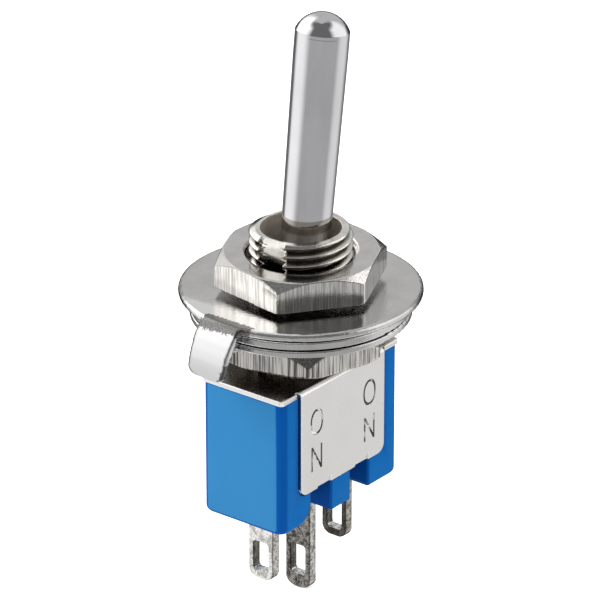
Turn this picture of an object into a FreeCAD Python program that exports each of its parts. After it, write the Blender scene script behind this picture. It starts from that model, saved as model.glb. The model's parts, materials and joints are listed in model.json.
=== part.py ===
import math
import os

import FreeCAD, Part
import Sketcher

# Subminiature panel toggle switch, single pole, two positions, solder lugs.
# Origin: bushing axis at the top face of the metal frame. Z up, X along the throw,
# the lettered skirt faces -Y and the keyway faces -X.

doc = FreeCAD.newDocument("ToggleSwitch")
sheet = doc.addObject("Spreadsheet::Sheet", "Dims")

SIZES = [
    # housing
    ("body_len", 8.9),
    ("body_wid", 4.75),
    ("body_low", 6.95),
    ("body_corner", 0.5),
    ("end_round", 0.3),
    ("foot_round", 1.0),
    ("notch_round", 0.12),
    ("notch_in", 0.75),
    ("notch_out", 2.1),
    ("notch_top", 5.0),
    ("cavity_len", 7.1),
    ("cavity_wid", 3.4),
    ("cavity_low", 4.4),
    # frame
    ("sheet_thick", 0.25),
    ("skirt_wid", 6.3),
    ("skirt_low", 5.3),
    ("skirt_proud", 0.13),
    ("skirt_corner", 0.45),
    ("skirt_gap", 0.06),
    ("bend_round", 0.22),
    ("relief_wid", 0.16),
    ("relief_deep", 0.2),
    ("crimp_wid", 1.0),
    ("crimp_run", 0.45),
    ("crimp_in", 0.1),
    ("spigot_rad", 1.98),
    ("rivet_rad", 2.14),
    ("rivet_high", 0.1),
    # bushing
    ("bush_rad", 2.415),
    ("bush_top", 6.6),
    ("bush_chamfer", 0.19),
    ("mouth_rad", 1.88),
    ("seat_rad", 1.42),
    ("seat_foot", 0.38),
    ("seat_low", 0.9),
    ("seat_high", 1.1),
    ("mouth_low", 1.7),
    ("key_wid", 1.4),
    ("key_floor", 2.0),
    ("pivot_high", 3.3),
    # nuts
    ("lower_nut_flats", 7.0),
    ("lower_nut_thick", 1.37),
    ("lower_nut_gap", 0.035),
    ("lower_nut_low", 0.6),
    ("lower_nut_turn", 42.9),
    ("lower_nut_face", 3.3),
    ("lower_nut_slope", 45.0),
    ("lower_nut_under", 3.72),
    ("collar_rad", 3.2),
    ("collar_high", 0.35),
    ("upper_nut_flats", 7.15),
    ("upper_nut_thick", 1.45),
    ("upper_nut_gap", 0.08),
    ("upper_nut_sink", 0.18),
    ("upper_nut_lift", 0.35),
    ("upper_nut_lean", 2.0),
    ("upper_nut_lean_way", 52.1),
    ("upper_nut_turn", 22.8),
    ("upper_nut_face", 3.58),
    ("upper_nut_slope", 35.0),
    ("upper_nut_under", 3.98),
    # washers
    ("ring_rad", 5.165),
    ("ring_hole", 2.5),
    ("ring_round", 0.09),
    ("flat_thick", 0.32),
    ("lock_rim", 4.0),
    ("lock_lift", 0.07),
    ("lock_thick", 0.38),
    ("lock_stack", 0.71),
    ("tooth_tip", 2.6),
    ("tooth_wid", 0.9),
    ("tooth_turn", 22.0),
    ("tooth_count", 10),
    ("disc_rad", 5.68),
    ("disc_thick", 0.35),
    ("disc_round", 0.14),
    ("disc_under", 0.09),
    ("disc_turn", 2.4),
    ("disc_key_wid", 1.2),
    ("disc_key_gap", 0.08),
    ("tab_root", 2.28),
    ("tab_end", 2.08),
    ("tab_reach", 6.75),
    ("tab_drop", 2.4),
    ("tab_round", 0.45),
    # terminals
    ("pitch", 2.8),
    ("lug_wid", 1.45),
    ("lug_thick", 0.5),
    ("side_low", 10.37),
    ("common_low", 11.95),
    ("lug_round", 0.5),
    ("eye_wid", 0.86),
    ("eye_high", 1.5),
    ("side_eye", 0.42),
    ("common_eye", 0.72),
    ("eye_round", 0.15),
    ("shelf_in", 1.9),
    ("fixed_rad", 0.42),
    ("fixed_thick", 0.2),
    ("button_at", 2.4),
    # rocker on its saddle
    ("saddle_half", 0.5),
    ("saddle_top", 3.55),
    ("rock_pivot", 3.5),
    ("rib_rad", 0.2),
    ("rib_gap", 0.03),
    ("blade_rise", 0.3),
    ("blade_thick", 0.28),
    ("blade_half", 2.8),
    ("blade_wid", 1.25),
    ("blade_vee", 7.3),
    ("button_rad", 0.4),
    ("button_thick", 0.2),
    # lever
    ("throw", 7.3),
    ("lever_top", 13.42),
    ("dome_high", 0.84),
    ("tip_rad", 1.265),
    ("tip_land", 1.2),
    ("neck_rad", 1.14),
    ("ball_rad", 1.6),
    ("ball_gap", 0.05),
    ("stem_rad", 1.05),
    ("stem_low", 4.3),
    ("pin_rad", 0.3),
    ("pin_len", 4.2),
    ("pin_gap", 0.03),
    # plunger and spring
    ("plunge_rad", 0.68),
    ("plunge_gap", 0.04),
    ("plunge_top", 3.12),
    ("plunge_shoulder", 5.55),
    ("nose_rad", 0.4),
    ("nose_low", 6.474),
    ("bore_top", 0.95),
    ("coil_rad", 0.52),
    ("wire_rad", 0.08),
    ("coil_turns", 5),
]

for row, (alias, number) in enumerate(SIZES, start=1):
    sheet.set("A%d" % row, alias.replace("_", " "))
    sheet.set("B%d" % row, str(number))
    sheet.setAlias("B%d" % row, alias)
doc.recompute()


class Size:
    """A length or angle that carries its spreadsheet expression and its present value."""

    def __init__(self, text, value):
        self.text = text
        self.value = value

    def __add__(self, other):
        other = size_of(other)
        return Size("(%s + %s)" % (self.text, other.text), self.value + other.value)

    def __sub__(self, other):
        other = size_of(other)
        return Size("(%s - %s)" % (self.text, other.text), self.value - other.value)

    def __mul__(self, other):
        other = size_of(other)
        return Size("(%s * %s)" % (self.text, other.text), self.value * other.value)

    def __truediv__(self, other):
        other = size_of(other)
        return Size("(%s / %s)" % (self.text, other.text), self.value / other.value)

    def __neg__(self):
        return Size("(-1 * %s)" % self.text, -self.value)


def size_of(number):
    if isinstance(number, Size):
        return number
    return Size("%g" % number, float(number))


def dim(alias):
    return Size("Dims.%s" % alias, float(sheet.get(alias)))


def sine(angle):
    return Size("sin(%s * 1 deg)" % angle.text, math.sin(math.radians(angle.value)))


def cosine(angle):
    return Size("cos(%s * 1 deg)" % angle.text, math.cos(math.radians(angle.value)))


def tangent(angle):
    return Size("tan(%s * 1 deg)" % angle.text, math.tan(math.radians(angle.value)))


def root(number):
    return Size("sqrt(%s)" % number.text, math.sqrt(number.value))


# Helpers for bodies and sketches


def new_body(label):
    body = doc.addObject("PartDesign::Body", label)
    body.Label = label
    return body


def new_sketch(body, plane, name, offset=None):
    sketch = body.newObject("Sketcher::SketchObject", name)
    support = [o for o in body.Origin.OriginFeatures if o.Role == plane][0]
    sketch.AttachmentSupport = [(support, "")]
    sketch.MapMode = "FlatFace"
    if offset is not None:
        sketch.setExpression("AttachmentOffset.Base.z", size_of(offset).text)
    return sketch


def hold(sketch, kind, geo, point, value):
    """Dimension one coordinate of a point from the sketch origin."""
    value = size_of(value)
    axis = -2 if kind == "DistanceX" else -1
    if abs(value.value) < 1e-9:
        sketch.addConstraint(Sketcher.Constraint("PointOnObject", geo, point, axis))
        return
    if value.value > 0:
        rule = Sketcher.Constraint(kind, -1, 1, geo, point, value.value)
        text = value.text
    else:
        rule = Sketcher.Constraint(kind, geo, point, -1, 1, -value.value)
        text = "-1 * %s" % value.text
    index = sketch.addConstraint(rule)
    sketch.setExpression("Constraints[%d]" % index, text)


def outline(sketch, corners):
    """Closed outline. A corner marked "arc" starts an arc centred on the vertical axis."""
    points = [(size_of(c[0]), size_of(c[1])) for c in corners]
    ends = []
    first = sketch.GeometryCount
    for i, corner in enumerate(corners):
        x0, y0 = points[i][0].value, points[i][1].value
        x1, y1 = points[(i + 1) % len(points)][0].value, points[(i + 1) % len(points)][1].value
        if len(corner) > 2 and corner[2] == "arc":
            centre = (x1 * x1 + y1 * y1 - x0 * x0 - y0 * y0) / (2.0 * (y1 - y0))
            radius = math.hypot(x0, y0 - centre)
            a0 = math.atan2(y0 - centre, x0)
            a1 = math.atan2(y1 - centre, x1)
            circle = Part.Circle(FreeCAD.Vector(0, centre, 0), FreeCAD.Vector(0, 0, 1), radius)
            if a1 > a0:
                sketch.addGeometry(Part.ArcOfCircle(circle, a0, a1), False)
                ends.append((1, 2))
            else:
                sketch.addGeometry(Part.ArcOfCircle(circle, a1, a0), False)
                ends.append((2, 1))
        else:
            start = FreeCAD.Vector(x0, y0, 0)
            stop = FreeCAD.Vector(x1, y1, 0)
            sketch.addGeometry(Part.LineSegment(start, stop), False)
            ends.append((1, 2))
    count = len(corners)
    for i, corner in enumerate(corners):
        here = first + i
        after = first + (i + 1) % count
        sketch.addConstraint(
            Sketcher.Constraint("Coincident", here, ends[i][1], after, ends[(i + 1) % count][0])
        )
        if len(corner) > 2 and corner[2] == "arc":
            sketch.addConstraint(Sketcher.Constraint("PointOnObject", here, 3, -2))
    for i in range(count):
        hold(sketch, "DistanceX", first + i, ends[i][0], points[i][0])
        hold(sketch, "DistanceY", first + i, ends[i][0], points[i][1])


def block(sketch, x0, x1, y0, y1):
    outline(sketch, [(x0, y0), (x1, y0), (x1, y1), (x0, y1)])


def ring(sketch, radius, x=0, y=0):
    radius, x, y = size_of(radius), size_of(x), size_of(y)
    centre = FreeCAD.Vector(x.value, y.value, 0)
    geo = sketch.addGeometry(Part.Circle(centre, FreeCAD.Vector(0, 0, 1), radius.value), False)
    index = sketch.addConstraint(Sketcher.Constraint("Radius", geo, radius.value))
    sketch.setExpression("Constraints[%d]" % index, radius.text)
    hold(sketch, "DistanceX", geo, 3, x)
    hold(sketch, "DistanceY", geo, 3, y)


def volume(body):
    doc.recompute()
    return body.Shape.Volume


def pad(body, sketch, length, name, both=False, back=False):
    feature = body.newObject("PartDesign::Pad", name)
    feature.Profile = sketch
    feature.setExpression("Length", size_of(length).text)
    feature.SideType = "Symmetric" if both else "One side"
    feature.Reversed = back
    sketch.Visibility = False
    doc.recompute()
    return feature


def pocket(body, sketch, name, length=None, both=False, along=False):
    """Cut away from the sketch normal, or along it, and make sure that something was cut."""
    before = volume(body)
    feature = body.newObject("PartDesign::Pocket", name)
    feature.Profile = sketch
    if length is None:
        feature.Type = "ThroughAll"
    else:
        feature.setExpression("Length", size_of(length).text)
    feature.SideType = "Symmetric" if both else "One side"
    feature.Reversed = along
    sketch.Visibility = False
    if volume(body) > before - 1e-6:
        raise RuntimeError("%s cuts nothing" % name)
    return feature


def turn(body, sketch, name, kind="PartDesign::Revolution"):
    before = volume(body) if kind == "PartDesign::Groove" else 0.0
    feature = body.newObject(kind, name)
    feature.Profile = sketch
    feature.ReferenceAxis = (sketch, ["V_Axis"])
    feature.Angle = 360.0
    sketch.Visibility = False
    doc.recompute()
    if kind == "PartDesign::Groove" and body.Shape.Volume > before - 1e-6:
        raise RuntimeError("%s cuts nothing" % name)
    return feature


def edges(body, test):
    names = []
    for index, edge in enumerate(body.Shape.Edges, start=1):
        if test(edge, edge.BoundBox):
            names.append("Edge%d" % index)
    if not names:
        raise RuntimeError("no edge found on %s" % body.Label)
    return names


def near(a, b):
    return abs(a - size_of(b).value) < 0.005


def fillet(body, name, radius, test):
    doc.recompute()
    base = body.Tip
    names = edges(body, test)
    feature = body.newObject("PartDesign::Fillet", name)
    feature.Base = (base, names)
    feature.setExpression("Radius", size_of(radius).text)
    doc.recompute()
    return feature


def flat_edge(box, axis):
    """True for an edge that runs along one axis only."""
    spans = [box.XLength, box.YLength, box.ZLength]
    long = spans.pop("XYZ".index(axis))
    return long > 0.02 and max(spans) < 1e-4


half_len = dim("body_len") / 2
half_wid = dim("body_wid") / 2
sheet_thick = dim("sheet_thick")
skirt_out = half_wid + dim("skirt_proud")
skirt_in = skirt_out - sheet_thick
skirt_half = dim("skirt_wid") / 2

# Blue moulded housing: recessed long faces, notched feet and an open contact chamber

housing = new_body("housing")
sketch = new_sketch(housing, "XY_Plane", "HousingOutline", -sheet_thick)
block(sketch, -half_len, half_len, -half_wid, half_wid)
pad(housing, sketch, dim("body_low") - sheet_thick, "HousingBlock", back=True)
fillet(housing, "HousingCorners", dim("body_corner"), lambda e, b: flat_edge(b, "Z"))

recess_half = skirt_half + dim("skirt_gap")
recess_low = dim("skirt_low") + dim("skirt_gap")
recess_in = skirt_in - 0.01
for side, sign in (("Front", 1), ("Rear", -1)):
    sketch = new_sketch(housing, "XZ_Plane", "Recess%sOutline" % side, recess_in * sign)
    block(sketch, -recess_half, recess_half, -recess_low, 0)
    pocket(housing, sketch, "Recess%s" % side, dim("skirt_proud") + sheet_thick, along=sign > 0)
fillet(
    housing,
    "RecessCorners",
    dim("skirt_corner"),
    lambda e, b: flat_edge(b, "Y") and near(b.ZMin, -recess_low) and near(abs(b.XMin), recess_half),
)

sketch = new_sketch(housing, "XZ_Plane", "NotchOutline")
block(sketch, -dim("notch_out"), -dim("notch_in"), -dim("body_low") - 1, -dim("notch_top"))
block(sketch, dim("notch_in"), dim("notch_out"), -dim("body_low") - 1, -dim("notch_top"))
pocket(housing, sketch, "Notches", dim("body_wid") + 1, both=True)
fillet(
    housing,
    "FootRound",
    dim("foot_round"),
    lambda e, b: flat_edge(b, "Y") and near(b.ZMin, -dim("body_low")) and near(b.XMin, -dim("notch_out")),
)
fillet(
    housing,
    "NotchRounds",
    dim("notch_round"),
    lambda e, b: flat_edge(b, "Z")
    and near(b.ZMin, -dim("body_low"))
    and (near(abs(b.XMin), dim("notch_in")) or near(b.XMin, dim("notch_out"))),
)
fillet(
    housing,
    "EndRounds",
    dim("end_round"),
    lambda e, b: near(b.ZMin, -dim("body_low"))
    and near(b.ZMax, -dim("body_low"))
    and near(max(abs(b.XMin), abs(b.XMax)), half_len),
)

chamber_len = dim("cavity_len") / 2
chamber_wid = dim("cavity_wid") / 2
sketch = new_sketch(housing, "XY_Plane", "ChamberOutline", -dim("cavity_low"))
block(sketch, -chamber_len, chamber_len, -chamber_wid, chamber_wid)
pocket(housing, sketch, "Chamber", dim("cavity_low"), along=True)

lug_half = dim("lug_wid") / 2
lug_side = dim("lug_thick") / 2
pitch = dim("pitch")
sketch = new_sketch(housing, "XY_Plane", "LugSlots", -dim("cavity_low"))
block(sketch, -pitch - lug_side, lug_side - pitch, -lug_half, lug_half)
block(sketch, -lug_side, lug_side, -lug_half, lug_half)
block(sketch, pitch - lug_side, pitch + lug_side, -lug_half, lug_half)
pocket(housing, sketch, "LugPassages", dim("body_low"))

# Sheet metal frame: top plate with two folded skirts, crimped into the foot notches

frame = new_body("frame")
sketch = new_sketch(frame, "XY_Plane", "PlateOutline", -sheet_thick)
block(sketch, -half_len, half_len, -half_wid, half_wid)
pad(frame, sketch, sheet_thick, "Plate")
fillet(frame, "PlateCorners", dim("body_corner") * 0.4, lambda e, b: flat_edge(b, "Z"))
for side, sign in (("Front", -1), ("Rear", 1)):
    sketch = new_sketch(frame, "YZ_Plane", "Skirt%sProfile" % side)
    block(sketch, skirt_in * sign, skirt_out * sign, -dim("skirt_low"), 0)
    pad(frame, sketch, dim("skirt_wid"), "Skirt%s" % side, both=True)
fillet(
    frame,
    "SkirtCorners",
    dim("skirt_corner"),
    lambda e, b: flat_edge(b, "Y") and near(b.ZMin, -dim("skirt_low")),
)
fillet(
    frame,
    "Bends",
    dim("bend_round"),
    lambda e, b: flat_edge(b, "X") and near(b.ZMin, 0) and near(abs(b.YMin), skirt_out),
)
sketch = new_sketch(frame, "XY_Plane", "ReliefOutline")
relief_out = skirt_half + dim("relief_wid")
relief_in = half_wid - dim("relief_deep")
block(sketch, -relief_out, -skirt_half, -half_wid - 1, -relief_in)
block(sketch, skirt_half, relief_out, -half_wid - 1, -relief_in)
block(sketch, -relief_out, -skirt_half, relief_in, half_wid + 1)
block(sketch, skirt_half, relief_out, relief_in, half_wid + 1)
pocket(frame, sketch, "BendReliefs", sheet_thick * 2, both=True)

crimp_mid = (dim("notch_in") + dim("notch_out")) / 2
crimp_half = dim("crimp_wid") / 2
crimp_top = dim("skirt_low") - dim("crimp_run")
crimp_free = dim("notch_top") + 0.02
sketch = new_sketch(frame, "XZ_Plane", "CrimpWindows")
for sign in (-1, 1):
    block(
        sketch,
        crimp_mid * sign - crimp_half,
        crimp_mid * sign + crimp_half,
        -dim("skirt_low") - 1,
        -crimp_top,
    )
pocket(frame, sketch, "CrimpCuts", dim("body_wid") + 2, both=True)
for sign, name in ((-1, "CrimpLipsLeft"), (1, "CrimpLipsRight")):
    sketch = new_sketch(frame, "YZ_Plane", name + "Profile", crimp_mid * sign)
    for face in (-1, 1):
        outline(
            sketch,
            [
                (skirt_in * face, -crimp_top),
                (skirt_in * face, -crimp_free),
                ((skirt_in - dim("crimp_in")) * face, -dim("skirt_low")),
                ((skirt_out - dim("crimp_in")) * face, -dim("skirt_low")),
                (skirt_out * face, -crimp_top),
            ],
        )
    pad(frame, sketch, dim("crimp_wid"), name, both=True)

sketch = new_sketch(frame, "XZ_Plane", "RivetHoleProfile")
outline(
    sketch,
    [
        (0, 1),
        (dim("spigot_rad"), 1),
        (dim("spigot_rad"), dim("rivet_high") - sheet_thick),
        (dim("rivet_rad"), -sheet_thick),
        (0, -sheet_thick),
    ],
)
turn(frame, sketch, "RivetHole", "PartDesign::Groove")

# Bushing: threaded barrel with a ball seat, riveted into the frame

pivot = dim("pivot_high")
ball_bore = dim("ball_rad") + dim("ball_gap")
bushing = new_body("bushing")
sketch = new_sketch(bushing, "XZ_Plane", "BushingProfile")
outline(
    sketch,
    [
        (ball_bore, -sheet_thick),
        (dim("rivet_rad"), -sheet_thick),
        (dim("spigot_rad"), dim("rivet_high") - sheet_thick),
        (dim("spigot_rad"), 0),
        (dim("bush_rad"), 0),
        (dim("bush_rad"), dim("bush_top") - dim("bush_chamfer")),
        (dim("bush_rad") - dim("bush_chamfer"), dim("bush_top")),
        (dim("mouth_rad"), dim("bush_top")),
        (dim("mouth_rad"), pivot + dim("mouth_low")),
        (dim("seat_rad"), pivot + dim("seat_high")),
        (dim("seat_rad"), pivot + dim("seat_low")),
        (ball_bore, pivot + dim("seat_foot")),
    ],
)
turn(bushing, sketch, "Barrel")
sketch = new_sketch(bushing, "XY_Plane", "KeywayOutline")
block(sketch, -dim("bush_rad") - 1, -dim("key_floor"), dim("key_wid") / -2, dim("key_wid") / 2)
pocket(bushing, sketch, "Keyway", dim("bush_top") + 1, along=True)
sketch = new_sketch(bushing, "XZ_Plane", "PinHoleOutline")
ring(sketch, dim("pin_rad"), 0, pivot)
pocket(bushing, sketch, "PinHole", dim("pin_len"), both=True)

# Hexagon nuts with chamfered corners


def make_nut(label, low, collar):
    body = new_body(label)
    angle = dim(label + "_turn")
    face = dim(label + "_face")
    slope = tangent(dim(label + "_slope"))
    under = dim(label + "_under")
    thick = dim(label + "_thick")
    bore = dim("bush_rad") + dim(label + "_gap")
    corner = dim(label + "_flats") / 2 / cosine(size_of(30))
    sketch = new_sketch(body, "XY_Plane", label + "_hexagon", low)
    points = []
    for step in range(6):
        at = angle + 60 * step
        points.append((corner * cosine(at), corner * sine(at)))
    outline(sketch, points)
    pad(body, sketch, thick, label + "_block")
    sketch = new_sketch(body, "XZ_Plane", label + "_chamfers")
    top = low + thick
    far = corner + 0.5
    outline(
        sketch,
        [
            (face, top),
            (far, top - (far - face) * slope),
            (far, top + 0.5),
            (face, top + 0.5),
        ],
    )
    outline(
        sketch,
        [
            (under, low),
            (under, low - 0.5),
            (far, low - 0.5),
            (far, low + (far - under) * tangent(size_of(30))),
        ],
    )
    turn(body, sketch, label + "_corners", "PartDesign::Groove")
    if collar:
        sketch = new_sketch(body, "XY_Plane", label + "_collar_outline", top)
        ring(sketch, dim("collar_rad"))
        pad(body, sketch, dim("collar_high"), label + "_collar")
    else:
        sink = dim(label + "_sink")
        sketch = new_sketch(body, "XZ_Plane", label + "_countersink")
        outline(
            sketch,
            [
                (bore - 0.5, top - sink),
                (bore, top - sink),
                (bore + sink, top),
                (bore + sink, top + 0.5),
                (bore - 0.5, top + 0.5),
            ],
        )
        turn(body, sketch, label + "_sink", "PartDesign::Groove")
    sketch = new_sketch(body, "XY_Plane", label + "_bore_outline", low)
    ring(sketch, bore)
    pocket(body, sketch, label + "_bore", thick + dim("collar_high"), along=True)
    return body


lower_nut_low = dim("lower_nut_low")
flat_low = lower_nut_low + dim("lower_nut_thick") + dim("collar_high")
lock_low = flat_low + dim("flat_thick")
disc_low = lock_low + dim("lock_stack")
disc_top = disc_low + dim("disc_thick")
make_nut("lower_nut", lower_nut_low, True)

# The upper nut is drawn about its own middle, then leaned a little on its thread

upper_nut = make_nut("upper_nut", dim("upper_nut_thick") / -2, False)
upper_mid = disc_top + dim("upper_nut_lift") + dim("upper_nut_thick") / 2
lean_way = "vector(cos(Dims.upper_nut_lean_way * 1 deg); -sin(Dims.upper_nut_lean_way * 1 deg); 0)"
upper_nut.setExpression(
    "Placement",
    "placement(vector(0; 0; %s); rotation(%s; Dims.upper_nut_lean))" % (upper_mid.text, lean_way),
)

# Plain washer on the lower nut

flat_washer = new_body("flat_washer")
sketch = new_sketch(flat_washer, "XY_Plane", "FlatWasherOutline", flat_low)
ring(sketch, dim("ring_rad"))
ring(sketch, dim("ring_hole"))
pad(flat_washer, sketch, dim("flat_thick"), "FlatWasherDisc")
fillet(
    flat_washer,
    "FlatWasherEdges",
    dim("ring_round"),
    lambda e, b: near(b.ZMin, b.ZMax) and near(b.XMax, dim("ring_rad")),
)

# Internal tooth lock washer: flat rim, twisted teeth that touch both neighbours

lock_washer = new_body("lock_washer")
rim_low = lock_low + dim("lock_lift")
sketch = new_sketch(lock_washer, "XY_Plane", "LockRimOutline", rim_low)
ring(sketch, dim("ring_rad"))
ring(sketch, dim("lock_rim"))
pad(lock_washer, sketch, dim("lock_thick"), "LockRim")
fillet(
    lock_washer,
    "LockRimEdges",
    dim("ring_round"),
    lambda e, b: near(b.ZMin, b.ZMax) and near(b.XMax, dim("ring_rad")),
)
twist = dim("tooth_turn")
tooth_mid = lock_low + dim("lock_stack") / 2
run = dim("tooth_wid") * cosine(twist) / 2
rise = dim("lock_stack") / 2 - dim("lock_thick") * cosine(twist) / 2
lean = dim("lock_thick") * sine(twist) / 2
drop = dim("lock_thick") * cosine(twist) / 2
sketch = new_sketch(lock_washer, "YZ_Plane", "ToothProfile", dim("tooth_tip"))
outline(
    sketch,
    [
        (lean - run, tooth_mid - rise - drop),
        (run + lean, tooth_mid + rise - drop),
        (run - lean, tooth_mid + rise + drop),
        (-run - lean, tooth_mid - rise + drop),
    ],
)
tooth = pad(lock_washer, sketch, dim("lock_rim") - dim("tooth_tip") + 0.3, "Tooth")
teeth = lock_washer.newObject("PartDesign::PolarPattern", "Teeth")
teeth.Originals = [tooth]
teeth.Axis = ([o for o in lock_washer.Origin.OriginFeatures if o.Role == "Z_Axis"][0], [""])
teeth.Angle = 360
teeth.setExpression("Occurrences", "Dims.tooth_count")
lock_washer.Tip = teeth
doc.recompute()

# Locating washer: key in the bushing's keyway, outer tab folded down at -X

locating_washer = new_body("locating_washer")
sketch = new_sketch(locating_washer, "XY_Plane", "DiscOutline", disc_low)
ring(sketch, dim("disc_rad"))
ring(sketch, dim("ring_hole"))
pad(locating_washer, sketch, dim("disc_thick"), "Disc")
fillet(
    locating_washer,
    "DiscEdge",
    dim("disc_round"),
    lambda e, b: near(b.ZMin, disc_top) and near(b.ZMax, disc_top) and near(b.XMax, dim("disc_rad")),
)
fillet(
    locating_washer,
    "DiscUnderEdge",
    dim("disc_under"),
    lambda e, b: near(b.ZMin, disc_low) and near(b.ZMax, disc_low) and near(b.XMax, dim("disc_rad")),
)
sketch = new_sketch(locating_washer, "XY_Plane", "KeyOutline", disc_low)
key_half = dim("disc_key_wid") / 2
key_tip = dim("key_floor") + dim("disc_key_gap")
block(sketch, -dim("ring_hole") - 0.3, -key_tip, -key_half, key_half)
pad(locating_washer, sketch, dim("disc_thick"), "Key")
tab_top = disc_top
tab_low = disc_top - dim("tab_drop")
tab_foot = dim("tab_reach") - dim("disc_thick")
disc_edge = dim("disc_rad") - 0.5

# Tab curve: share of the reach, share of the drop, then how the thickness leans there

TAB_CURVE = [
    (0.344, 0.042, 0.61, 0.79),
    (0.51, 0.167, 0.78, 0.62),
    (0.675, 0.31, 0.84, 0.54),
    (0.815, 0.48, 0.91, 0.42),
    (0.924, 0.667, 0.956, 0.29),
    (0.981, 0.833, 0.989, 0.15),
]
tab_run = dim("tab_reach") - disc_edge
tab_outer = []
tab_inner = []
for reach_share, drop_share, lean_across, lean_down in TAB_CURVE:
    across = -disc_edge - tab_run * reach_share
    height = tab_top - dim("tab_drop") * drop_share
    tab_outer.append((across, height))
    if drop_share > 0.1:
        tab_inner.append(
            (across + dim("disc_thick") * lean_across, height - dim("disc_thick") * lean_down)
        )
sketch = new_sketch(locating_washer, "XZ_Plane", "TabProfile")
outline(
    sketch,
    [(-disc_edge, disc_low), (-disc_edge, tab_top), (-disc_edge - tab_run * 0.18, tab_top)]
    + tab_outer
    + [(-dim("tab_reach"), tab_low), (-tab_foot, tab_low - 0.02)]
    + tab_inner[::-1]
    + [(-disc_edge - tab_run * 0.19, disc_low)],
)
pad(locating_washer, sketch, dim("tab_root"), "Tab", both=True)
sketch = new_sketch(locating_washer, "YZ_Plane", "TabSidesOutline", -dim("tab_reach") - 0.5)
for sign in (-1, 1):
    outline(
        sketch,
        [
            (dim("tab_root") / 2 * sign, tab_top - 0.45),
            (dim("tab_end") / 2 * sign, tab_low - 0.1),
            (dim("tab_root") / 2 * sign + 0.5 * sign, tab_low - 0.1),
            (dim("tab_root") / 2 * sign + 0.5 * sign, tab_top - 0.45),
        ],
    )
pocket(locating_washer, sketch, "TabSides", 1.9, along=True)
fillet(
    locating_washer,
    "TabCorners",
    dim("tab_round"),
    lambda e, b: b.ZMax < tab_low.value + 0.02
    and b.ZMin < tab_low.value
    and b.XLength > 0.2
    and b.YLength < 0.1
    and abs(b.YMin) > 0.7,
)
locating_washer.setExpression(
    "Placement", "placement(vector(0; 0; 0); rotation(vector(0; 0; 1); -Dims.disc_turn))"
)

# Solder terminals


def lug_eye(body, name, low):
    sketch = new_sketch(body, "YZ_Plane", name)
    block(sketch, dim("eye_wid") / -2, dim("eye_wid") / 2, low, low + dim("eye_high"))
    pocket(body, sketch, name + "_hole", dim("body_len") * 2, both=True)
    fillet(
        body,
        name + "_rounds",
        dim("eye_round"),
        lambda e, b: flat_edge(b, "X")
        and near(abs(b.YMin), dim("eye_wid") / 2)
        and (near(b.ZMin, low) or near(b.ZMin, low + dim("eye_high"))),
    )


def lug_end(body, name, low):
    fillet(
        body,
        name,
        dim("lug_round"),
        lambda e, b: flat_edge(b, "X") and near(b.ZMin, low) and near(abs(b.YMin), lug_half),
    )


def make_side_terminal(label, sign):
    body = new_body(label)
    sketch = new_sketch(body, "XZ_Plane", label + "_profile")
    outer = (pitch + lug_side) * sign
    inner = (pitch - lug_side) * sign
    shelf_top = dim("lug_thick") - dim("cavity_low")
    outline(
        sketch,
        [
            (outer, -dim("side_low")),
            (inner, -dim("side_low")),
            (inner, -dim("cavity_low")),
            (dim("shelf_in") * sign, -dim("cavity_low")),
            (dim("shelf_in") * sign, shelf_top),
            (outer, shelf_top),
        ],
    )
    pad(body, sketch, dim("lug_wid"), label + "_strip", both=True)
    fillet(
        body,
        label + "_bend",
        dim("lug_thick") * 0.8,
        lambda e, b: flat_edge(b, "Y") and near(b.ZMin, shelf_top) and near(b.XMin, outer),
    )
    lug_end(body, label + "_end", -dim("side_low"))
    lug_eye(body, label + "_eye", dim("side_eye") - dim("side_low"))
    return body


make_side_terminal("terminal_left", -1)
make_side_terminal("terminal_right", 1)

terminal_common = new_body("terminal_common")
sketch = new_sketch(terminal_common, "XZ_Plane", "CommonProfile")
outline(
    sketch,
    [
        (-lug_side, -dim("common_low")),
        (lug_side, -dim("common_low")),
        (lug_side, -dim("cavity_low")),
        (dim("saddle_half"), -dim("cavity_low")),
        (dim("saddle_half"), -dim("saddle_top")),
        (-dim("saddle_half"), -dim("saddle_top")),
        (-dim("saddle_half"), -dim("cavity_low")),
        (-lug_side, -dim("cavity_low")),
    ],
)
pad(terminal_common, sketch, dim("lug_wid"), "CommonStrip", both=True)
sketch = new_sketch(terminal_common, "XZ_Plane", "SaddleGrooveOutline")
ring(sketch, dim("rib_rad") + dim("rib_gap"), 0, -dim("rock_pivot"))
pocket(terminal_common, sketch, "SaddleGroove", dim("lug_wid") + 1, both=True)
lug_end(terminal_common, "CommonEnd", -dim("common_low"))
lug_eye(terminal_common, "CommonEye", dim("common_eye") - dim("common_low"))

# Fixed contact buttons on the side terminals


def make_fixed_contact(label, sign):
    body = new_body(label)
    sketch = new_sketch(body, "XY_Plane", label + "_outline", dim("lug_thick") - dim("cavity_low"))
    ring(sketch, dim("fixed_rad"), dim("button_at") * sign, 0)
    pad(body, sketch, dim("fixed_thick"), label + "_button")
    return body


make_fixed_contact("fixed_contact_left", -1)
make_fixed_contact("fixed_contact_right", 1)

# Rocker: shallow V blade with a rib that sits in the saddle, shown with its left side down

rocker_text = "placement(vector(0; 0; -Dims.rock_pivot); rotation(vector(0; 1; 0); -Dims.throw))"


def vee(along, above):
    """A point on the right-hand arm, along the blade and above the rocking axis."""
    cos_v, sin_v = cosine(dim("blade_vee")), sine(dim("blade_vee"))
    return along * cos_v - above * sin_v, along * sin_v + above * cos_v


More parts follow.
